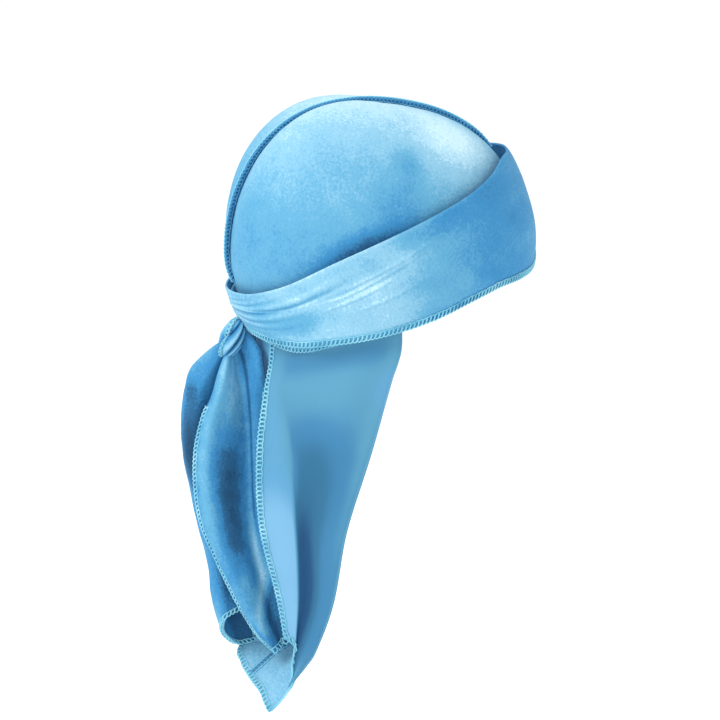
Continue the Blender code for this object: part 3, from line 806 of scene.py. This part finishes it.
# Each crease: the turn and the share down the band of both ends, half width, depth and bow
creaseRows = (
    (191, 0.42, 98, 0.17, 0.060, 0.0015, 0.06),
    (160, 0.37, 100, 0.30, 0.040, -0.0011, 0.03),
    (190, 0.54, 116, 0.44, 0.055, 0.0011, 0.08),
    (191, 0.62, 124, 0.66, 0.045, 0.0012, 0.07),
    (190, 0.70, 136, 0.80, 0.035, 0.0008, 0.05),
    (188, 0.78, 146, 0.88, 0.030, 0.0007, 0.03),
    (190, 0.32, 132, 0.10, 0.040, 0.0008, 0.03),
    (187, 0.22, 150, 0.06, 0.030, 0.0006, 0.01),
    (184, 0.48, 148, 0.50, 0.022, -0.0006, 0.04),
    (184, 0.58, 150, 0.63, 0.022, -0.0006, 0.04),
    (184, 0.66, 154, 0.75, 0.020, -0.0005, 0.03),
    (120, 0.42, 82, 0.40, 0.050, -0.0005, 0.00),
    (118, 0.58, 84, 0.40, 0.024, 0.00075, 0.02),
    (114, 0.48, 78, 0.28, 0.022, 0.00085, 0.02),
    (108, 0.38, 72, 0.20, 0.022, 0.0007, 0.02),
    (104, 0.68, 74, 0.54, 0.024, 0.00055, 0.01),
)


def creaseSum(turn, down, profile):  # the profile reads how far it is from a crease's middle
    near = np.where(turn <= outer["creasesMeet"], turn, 2 * outer["creasesMeet"] - turn)
    total = np.zeros_like(turn)
    for fromTurn, fromDown, toTurn, toDown, halfWidth, deepest, bow in creaseRows:
        along = np.clip((fromTurn - near) / (fromTurn - toTurn), 0, 1)
        middle = fromDown + (toDown - fromDown) * along + bow * np.sin(math.pi * along)
        widened = stretched(along, 0, 0.5)
        width = halfWidth * (outer["narrowAtKnot"] + (1 - outer["narrowAtKnot"]) * widened)
        depth = deepest * np.sin(math.pi * along ** outer["depthLean"])
        total += depth * profile((down - middle) / width)
    return total


def paintedCreaseLight(away):  # painted highlight on the upper side of a crest and painted shade below it
    return bell(away, *outer["paleSide"]) - outer["darkShare"] * bell(away, *outer["darkSide"])


def outerPlace(u, v):
    turn = 360 * u
    top, hem = strapEdge("top", turn), strapEdge("hem", turn)
    tilt = top + (hem - top) * v
    height = layerHeight(3) + creaseSum(turn, v, lambda away: bell(away, 0, 1))
    forward = np.maximum(0, np.cos(np.radians(turn)))
    height += outer["lift"] * forward * (1 - v) ** outer["liftPower"]
    height += outer["topRoll"] * bell(v, 0, outer["topRollWidth"])
    return onCap(tilt, turn, height + noiseSum(onCap(tilt, turn, layerHeight(3)), outer["ripples"]))


def outerNapAndPaintedLight(u, v, points):
    turn = 360 * u
    # Painted highlights and painted shade along the creases
    creaseLightAndShade = outer["creaseLight"] * creaseSum(turn, v, paintedCreaseLight)
    return napAndPaintedLightOf(outer, points, turn=nearTurn(turn), down=v) + creaseLightAndShade


# The inner strap's painted light: paler towards the back, painted shade along its hem
inner = {"across": 330, "down": 26, "flat": (0.56, 0.045), "base": 0.42, "noises": (),
         "light": ((0.34, {"turnFrom": (60, 130)}), (-0.20, {"down": (0.97, 0.04)}))}


def innerPlace(u, v):
    turn = 360 * u
    top, hem = strapEdge("innerTop", turn), strapEdge("innerHem", turn)
    return onCap(top + (hem - top) * v, turn, layerHeight(2) + 0 * u)


def innerBaseAndPaintedLight(u, v, points):
    return napAndPaintedLightOf(inner, points, turn=nearTurn(360 * u), down=v)


def makeStrap(node, finishName, looks, place, napAndPaintedLight, inwardStep, stitches, samples=1400):
    piece = velvetPiece(node + "_velvet", node, finishName, looks, place, napAndPaintedLight)
    run = edgeOf(place, np.linspace(0, 1, samples), np.ones(samples), (0, inwardStep))
    coil = threads(node + "_serging", overlocked(*run, stitches, closed=True), hemThread)


makeStrap("wrap_outer", "wrapOuterFinish", outer, outerPlace, outerNapAndPaintedLight, -0.02, stitch)
makeStrap("wrap_inner", "wrapInnerFinish", inner, innerPlace, innerBaseAndPaintedLight, -0.03,
          dict(stitch, perStitch=8, faces=(-1,)))
print("wound straps made")


# The knot


knotLooks = {"halfWidth": 0.0150, "halfDepth": 0.0085, "halfHeight": 0.0125, "drop": 0.1475,
             "aside": -0.0020, "sink": 0.0010, "pleats": 5, "pleatDepth": 0.07, "twist": 3.0}
knotHalf = np.array([knotLooks["halfWidth"], knotLooks["halfDepth"], knotLooks["halfHeight"]])
nape = onCap(strapEdge("hem", 180.0), 180.0, layerHeight(3) + cloth["wall"] / 2)
knotMiddle = np.array([knotLooks["aside"], nape[1] + knotLooks["halfDepth"] - knotLooks["sink"],
                       -knotLooks["drop"]])


def knotRadii(ball):
    roundIt = np.arctan2(ball[..., 2], ball[..., 0])
    ripple = np.cos(knotLooks["pleats"] * roundIt + knotLooks["twist"] * ball[..., 1])
    pleat = 1 + knotLooks["pleatDepth"] * ripple * (1 - ball[..., 1] ** 2)
    return knotHalf * pleat[..., None]


def underKnot(side, back):  # the height at which a loose end starts
    aside, behind = side - knotMiddle[0], back - knotMiddle[1]
    nearer = 1 - cloth["wall"] / 2 / math.hypot(aside, behind)
    ball = np.array([0.0, 0.0, -1.0])
    for turnOver in range(8):
        radii = knotRadii(ball)
        x, y = aside * nearer / radii[0], behind * nearer / radii[1]
        ball = np.array([x, y, -math.sqrt(max(0.0, 1 - x * x - y * y))])
    return knotMiddle[2] + ball[2] * knotRadii(ball)[2]


knotFolds = {"long": 0.0136, "across": 0.0074, "wide": 0.0145, "count": 6, "depth": 0.42,
             "twist": 0.6, "uneven": 0.35, "roundness": 0.6, "endPower": 4,
             "slant": (0.0, -0.42, 0.91), "dimples": ((0.0004, 160, 21, 1),), "valleyLight": 0.30,
             "crestLight": 0.48, "hemAt": 4.1, "hemRun": (-0.93, 0.9), "hemTurn": 0.15,
             "hemLift": 0.0004, "hemWidth": 0.0022, "hemSamples": 240,
             "segments": 220, "rings": 110}


# Rolled pleats run from the knot's upper inner end to its lower outer end
def pleated(roundIt, along):
    long = unit(np.array(knotFolds["slant"]))
    across = unit(np.cross(np.array([1.0, 0, 0]), long))
    flat = np.sqrt(np.maximum(0, 1 - along ** 2))
    turned = roundIt + knotFolds["twist"] * along + knotFolds["uneven"] * np.sin(2 * roundIt + 1)
    folds = np.abs(np.sin(turned * knotFolds["count"] / 2)) ** knotFolds["roundness"]
    size = flat * (1 - knotFolds["depth"] * (1 - folds) * (1 - along ** knotFolds["endPower"]))
    points = knotMiddle + (np.outer(along * knotFolds["long"], long)
                           + np.outer(np.sin(roundIt) * size * knotFolds["across"], across)
                           + np.outer(np.cos(roundIt) * size * knotFolds["wide"], [1.0, 0, 0]))
    return points, folds


def makeKnot():
    mesh = meshOf("knot_velvet", lambda shape: bmesh.ops.create_uvsphere(
        shape, u_segments=knotFolds["segments"], v_segments=knotFolds["rings"], radius=1))
    ball = pointsOf(mesh)
    points, folds = pleated(np.arctan2(ball[:, 1], ball[:, 0]), ball[:, 2])
    points += ball * noiseSum(points, knotFolds["dimples"])[:, None]
    mesh.vertices.foreach_set("co", points.ravel())
    # Painted shade in the pleats' valleys and a painted highlight on their crests
    paint(mesh, "napAndPaintedLight", knotFolds["valleyLight"] + knotFolds["crestLight"] * folds ** 3)
    reworked(mesh, lambda shape: bmesh.ops.recalc_face_normals(shape, faces=shape.faces))
    piece = putIn("knot_velvet", mesh, [velvet("knotFinish", velvetLooks)])
    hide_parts("knot")
    n = knotFolds["hemSamples"]
    along = np.linspace(*knotFolds["hemRun"], n)
    hem = pleated(np.full(n, knotFolds["hemAt"]), along)[0]
    beside = pleated(np.full(n, knotFolds["hemAt"] + knotFolds["hemTurn"]), along)[0]
    out = unit(hem - knotMiddle)
    slim = dict(stitch, width=knotFolds["hemWidth"])
    runs = overlocked(hem + out * knotFolds["hemLift"], unit(beside - hem), out, slim)
    threads("knot_serging", runs, hemThread)


makeKnot()
print("knot made")


# The neck flap, folded back on the wearer's right


flap = {
    "across": 198, "down": 136, "flat": (0.33, 0.23), "area": 0.056, "top": 0.138, "drop": 0.250,
    "ease": 0.12, "hemClearance": 0.8, "hidden": 2 / 16, "hemSamples": 900,
    "seamAt": 2.95 / 11, "seamBelow": 0.01, "seamEnd": 0.998, "seamSamples": 1400, "railsAt": 1.1,
    "railLift": 0.5, "railWire": 0.9,
    # The velvet side: the noise is the pile's own tone, with a painted highlight towards the bottom
    "base": 0.62, "noises": ((0.12, 30, 31, 1),), "light": ((0.10, {"downFrom": (0.8, 1.0)}),),
    # The knit back's painted light and shade along its folds: painted shade in the valley, on the
    # lower folds, in a line under the band's hem and towards the bottom, painted highlights on the
    # ridge, along the turned-back fold and below the valley; darker along the far edge
    "paintedFoldLightBase": 0.69,
    "paintedFoldLight": (
        (-0.14, {"downFrom": (0.22, 0.42), "foldTo": (9, 10)}), (-0.14, {"down": (0.16, 0.04)}),
        (0.10, {"fold": (10.4, 0.5), "downTo": (0.42, 0.74)}),
        (0.40, {"downFrom": (0.42, 0.74), "foldFrom": (9.70, 9.98)}),
        (-0.30, {"fold": (8.6, 0.8), "downFrom": (0.22, 0.5), "downTo": (0.42, 0.74)}),
        (-0.70, {"fold": (9.5, 1.15), "downFrom": (0.42, 0.74), "foldTo": (9.70, 9.98)}),
        (0.10, {"fold": (7.3, 0.25), "downTo": (0.42, 0.74)}),
        (0.22, {"fold": (7.6, 0.6), "down": (1.0, 0.12)}), (0.25, {"fold": (7.03, 0.05)}),
        (-0.07, {"downFrom": (0.70, 0.92)}), (-0.30, {"fold": (11, 0.10)})),
}


def flapAt(fold, height):
    drop = (-flap["top"] - height) / flap["drop"]
    side = capeCurves[fold, 0](drop) * cap["width"] / 2
    back = capeCurves[fold, 1](drop) * cap["length"] / 2
    return np.stack([side, back, height], axis=-1)


def flapFold(fold, v):
    turn, layer, end = capeEnds[fold]
    height = float(layerHeight(layer))
    hem = float(strapEdge("hem", turn))
    above = hem - panel["hemAboveStrapHem"] + flap["hemClearance"]
    below = max(hem, float(strapEdge("innerHem", turn))) + flap["hemClearance"]
    hidden = flap["hidden"]
    tilt = above + (below - above) * np.minimum(v, hidden) / hidden
    onIt = onCap(tilt, np.full_like(v, turn), np.full_like(v, height))
    leaves = onCap(np.array([below]), np.array([turn]), np.array([height]))[0]
    bottom = -flap["top"] - flap["drop"] * end
    level = leaves[2] + (bottom - leaves[2]) * np.maximum(v - hidden, 0) / (1 - hidden)
    away = stretched((leaves[2] - level) / (flap["ease"] * flap["drop"]), 0, 1)[:, None]
    start = np.stack([np.full_like(v, leaves[0]), np.full_like(v, leaves[1]), level], axis=-1)
    hung = start * (1 - away) + flapAt(fold, level) * away
    return np.where((v <= hidden)[:, None], onIt, hung)


def flapPlace(u, v):
    points = np.stack([flapFold(fold, v) for fold in capeEnds])
    return throughPoints(points, u * (len(capeEnds) - 1))


def flapNapAndPaintedLight(u, v, points):
    return napAndPaintedLightOf(flap, points, down=v)


def flapPaintedFoldLight(u, v):  # painted light and shade on the knit back, along its folds
    return flap["paintedFoldLightBase"] + shaded(flap["paintedFoldLight"], fold=u * (len(capeEnds) - 1), down=v)


def middleSeam():
    n = flap["seamSamples"]
    v = np.linspace(flap["hidden"] + flap["seamBelow"], flap["seamEnd"], n)
    run = edgeOf(flapPlace, np.full(n, flap["seamAt"]), v, (0.004, 0))
    p, side, o, phase = evenRun(*run, seamStitch["pitch"], seamStitch["perStitch"])
    half, thread = seamStitch["width"] / 2, seamStitch["rung"]
    lift = cloth["wall"] / 2 + thread
    over = o * (lift + thread * np.sin(phase))[:, None]
    ladder = p + side * (half * np.cos(phase))[:, None] + over
    beside = o * (lift + thread * flap["railLift"] * np.cos(phase))[:, None]
    rails = [p + side * half * way + beside for way in (-flap["railsAt"], flap["railsAt"])]
    return [(ladder, thread, 1)], [(rail, thread * flap["railWire"], 0) for rail in rails]


def makeFlap():
    mesh = clothGrid("cape_cloth", flap, flapPlace, flapNapAndPaintedLight, flapPaintedFoldLight)
    finishes = [velvet("capeFinish", velvetLooks), knitBack("capeBack", knitLooks)]
    piece = putIn("cape_cloth", mesh, finishes)
    giveWall(piece, cloth["wall"], inside=1)
    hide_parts("cape")
    n = flap["hemSamples"]
    down = np.linspace(flap["hidden"], 1, n)
    runs = overlocked(*edgeOf(flapPlace, np.ones(n), down, (-0.008, 0)), stitch)
    runs += overlocked(*edgeOf(flapPlace, np.linspace(1, 0, n), np.ones(n), (0, -0.01)), stitch)
    runs += overlocked(*edgeOf(flapPlace, np.zeros(n), down[::-1], (0.008, 0)), stitch)
    coil = threads("cape_serging", runs, hemThread)
    ladder, rails = middleSeam()
    dark = threads("cape_seam_thread", ladder, seamThread)
    pale = threads("cape_seam_rim", rails, rimThread)


makeFlap()
print("neck flap made")


# The loose ends


tails = {"across": 120, "down": 140, "flat": (0.055, 0.19), "spread": 0.060, "drop": 0.194,
         "lineEnd": 0.84, "turnedStitch": 0.0022, "fanned": 0.10,
         "fannedSooner": {"strip": 0.055, "inner": 0.030}, "pinch": 0.30,
         "raised": {"strip": 0.010, "inner": 0.018},
         "ripples": ((0.0007, 110, 41, 0.25), (0.00025, 230, 42, 0.5)), "smoothTo": 0.15,
         "hemSamples": 700}
# Hems start at these shares of the length; thin ones are turned; the ridge is a fold with a
# painted highlight that runs down to the outer edge
tailRight = {
    "hemStarts": (0.16, 0.16), "thin": (0, 2), "ridge": 3.0, "ridgeRun": (1.7, 0.74, 0.92),
    # Painted light and shade by fold: painted highlights on the crest, near the top and along the
    # ridge low down; painted shade in the centre, in the valley, beyond the ridge, at the bottom,
    # along the outer edge and in the hollow by the knot; the noises are the pile's own uneven tone
    "base": 0.49, "noises": ((0.16, 75, 51, 0.22), (0.06, 120, 53, 1)),
    "light": (
        (0.14, {"fold": (0.85, 0.40), "downTo": (0.45, 0.75)}),
        (-0.08, {"fold": (1.0, 0.8), "downFrom": (0.45, 0.75)}),
        (-0.35, {"fold": (2.0, 0.60), "downFrom": (0.15, 0.45), "downTo": (0.60, 0.80)}),
        (-0.30, {"fold": (3.42, 0.12), "downTo": (0.45, 0.75)}),
        (0.22, {"fold": (2.4, 0.7), "down": (0.08, 0.12)}),
        (0.32, {"pastRidge": (0, 0.46), "downFrom": (0.50, 0.66), "downTo": (0.92, 1.0)}),
        (-0.30, {"pastRidgeFrom": (0.45, 1.1), "downFrom": (0.60, 0.80)}),
        (-0.10, {"downFrom": (0.88, 0.98)}), (-0.08, {"fold": (4.0, 0.4), "downTo": (0.45, 0.75)}),
        (-0.28, {"foldFrom": (4.2, 4.9), "downTo": (0.12, 0.3)}), (-0.2, {"fold": (0, 0.12)})),
}
tailLeft = {
    "hemStarts": (0.12, 0.16), "thin": (0, 1, 2), "ridge": 0, "ridgeRun": (0, 0, 1),
    # Painted highlights on the turned-back fold, at the top and at the bottom; painted shade in the
    # hollow before it and on the back folds low down; the noise is the pile's own uneven tone
    "base": 0.38, "noises": ((0.18, 70, 52, 0.25),),
    "light": (
        (0.12, {"fold": (2.1, 0.5)}), (-0.26, {"fold": (0.8, 0.45), "downFrom": (0.1, 0.3)}),
        (-0.36, {"fold": (1.45, 0.4), "down": (0.40, 0.18)}),
        (-0.18, {"fold": (1.6, 0.5), "down": (0.16, 0.04)}), (0.05, {"down": (0.06, 0.08)}),
        (0.10, {"downFrom": (0.78, 0.95)}),
        (-0.30, {"foldFrom": (2.7, 3.3), "downFrom": (0.78, 0.88)})),
}
knotBottom = -knotLooks["drop"] - knotLooks["halfHeight"]


def besideFlap(tail, fold, drop):
    lowest = -flap["top"] - tails["lineEnd"] * flap["drop"]
    line = np.maximum(knotBottom - tails["drop"] * drop, lowest)
    side = tailCurves[tail][fold, 0](drop) * tails["spread"]
    back = tailCurves[tail][fold, 1](drop) * tails["spread"]
    return side, flapAt("back", line)[..., 1] + back


def tailPlaceOf(tail):
    ends = tailEnds[tail]
    starts = {}
    for fold in ends:
        side, back = besideFlap(tail, fold, np.zeros(1))
        under = underKnot(float(side[0]), float(back[0]))
        starts[fold] = under - cloth["wall"] / 2 - cloth["pieceGap"]

    def hang(fold, v):
        side, back = besideFlap(tail, fold, v * ends[fold])
        end = knotBottom - tails["drop"] * ends[fold]
        hung = np.stack([side, back, starts[fold] + (end - starts[fold]) * v], axis=-1)
        pinched = (1 - stretched(v, 0, tails["fannedSooner"].get(fold, tails["fanned"])))[:, None]
        source = knotMiddle + np.array([0, 0, tails["raised"].get(fold, 0)])
        return hung + (source - hung) * (1 - tails["pinch"]) * pinched

    def smooth(u, v):
        points = np.stack([hang(fold, v) for fold in ends])
        return throughPoints(points, u * (len(ends) - 1))

    def place(u, v):
        points = smooth(u, v)
        ripples = noiseSum(points, tails["ripples"]) * stretched(v, 0.0, tails["smoothTo"])
        return points + sideOut(smooth, u, v) * ripples[:, None]

    return place


def makeTail(node, tail, looks):
    def napAndPaintedLight(u, v, points):
        fold = u * (len(tailEnds[tail]) - 1)
        run, start, end = looks["ridgeRun"]
        ridge = looks["ridge"] - run * stretched(v, start, end)
        return napAndPaintedLightOf(looks, points, fold=fold, down=v, pastRidge=fold - ridge)

    place = tailPlaceOf(tail)
    piece = velvetPiece(node + "_velvet", node, node + "Finish", tails, place, napAndPaintedLight)
    n = tails["hemSamples"]
    first, last = [np.linspace(start, 1, n) for start in looks["hemStarts"]]
    edges = ((np.zeros(n), first, (0.01, 0)), (np.linspace(0, 1, n), np.ones(n), (0, -0.01)),
             (np.ones(n), last, (-0.01, 0)))
    runs = []
    for i, (u, v, inwardStep) in enumerate(edges):
        hem = dict(stitch, width=tails["turnedStitch"]) if i in looks["thin"] else stitch
        runs += overlocked(*edgeOf(place, u, v, inwardStep), hem)
    coil = threads(node + "_serging", runs, hemThread)


makeTail("tail_right", "tailRight", tailRight)
makeTail("tail_left", "tailLeft", tailLeft)
print("loose ends made")


# Floor, light and camera


def backCamera():
    a, e = math.radians(camera["azimuth"]), math.radians(camera["elevation"])
    back = Vector((math.sin(a) * math.cos(e), -math.cos(a) * math.cos(e), math.sin(e)))
    right = Vector((math.cos(a), math.sin(a), 0))
    up = back.cross(right)
    target = right * camera["aside"] + up * camera["above"]
    lens = bpy.data.cameras.new("camera")
    lens.sensor_width = camera["sensor"]
    lens.lens = camera["sensor"] * camera["distance"] / camera["frameWidth"]
    lens.clip_start, lens.clip_end = camera["clip"]
    view = newObject("camera", lens)
    view.location = target + back * camera["distance"]
    view.rotation_mode = "QUATERNION"
    view.rotation_quaternion = (-back).to_track_quat("-Z", "Y")
    bpy.context.scene.camera = view
    return back, right, up, target


back, right, up, target = backCamera()
stage = {"floor": -0.47, "half": 40.0, "sky": 0.78,
         "key": {"back": 1.1, "right": -1.3, "up": 1.5, "size": 1.3, "power": 30.0},
         "fill": {"back": 1.6, "right": 1.5, "up": 0.4, "size": 1.6, "power": 7.0},
         "paint": {"Base Color": (0.94, 0.94, 0.94, 1), "Roughness": 0.9, "Specular IOR Level": 0.0,
                   "Emission Color": (1, 1, 1, 1), "Emission Strength": 0.30}}


def makeFloor():
    def level(shape):
        bmesh.ops.create_grid(shape, x_segments=8, y_segments=8, size=stage["half"])
        bmesh.ops.translate(shape, verts=shape.verts, vec=(0, 0, stage["floor"]))

    mesh = meshOf("floor", level)
    made, tree, shader = newFinish("floorPaint")
    setSockets(shader, stage["paint"])
    mesh.materials.append(made)
    newObject("floor", mesh)


def areaLight(name):
    looks = stage[name]
    offset = back * looks["back"] + right * looks["right"] + up * looks["up"]
    light = bpy.data.lights.new(name, "AREA")
    light.shape = "SQUARE"
    light.size = looks["size"]
    light.energy = looks["power"]
    lamp = newObject(name, light)
    lamp.location = target + offset
    lamp.rotation_mode = "QUATERNION"
    lamp.rotation_quaternion = offset.to_track_quat("Z", "Y")


makeFloor()
areaLight("key")
areaLight("fill")
sky = bpy.data.worlds.new("studio")
sky.use_nodes = True
setSockets(sky.node_tree.nodes["Background"], {"Color": (1, 1, 1, 1), "Strength": stage["sky"]})
bpy.context.scene.world = sky
bpy.context.scene.view_settings.view_transform = "Standard"
print("stage made")
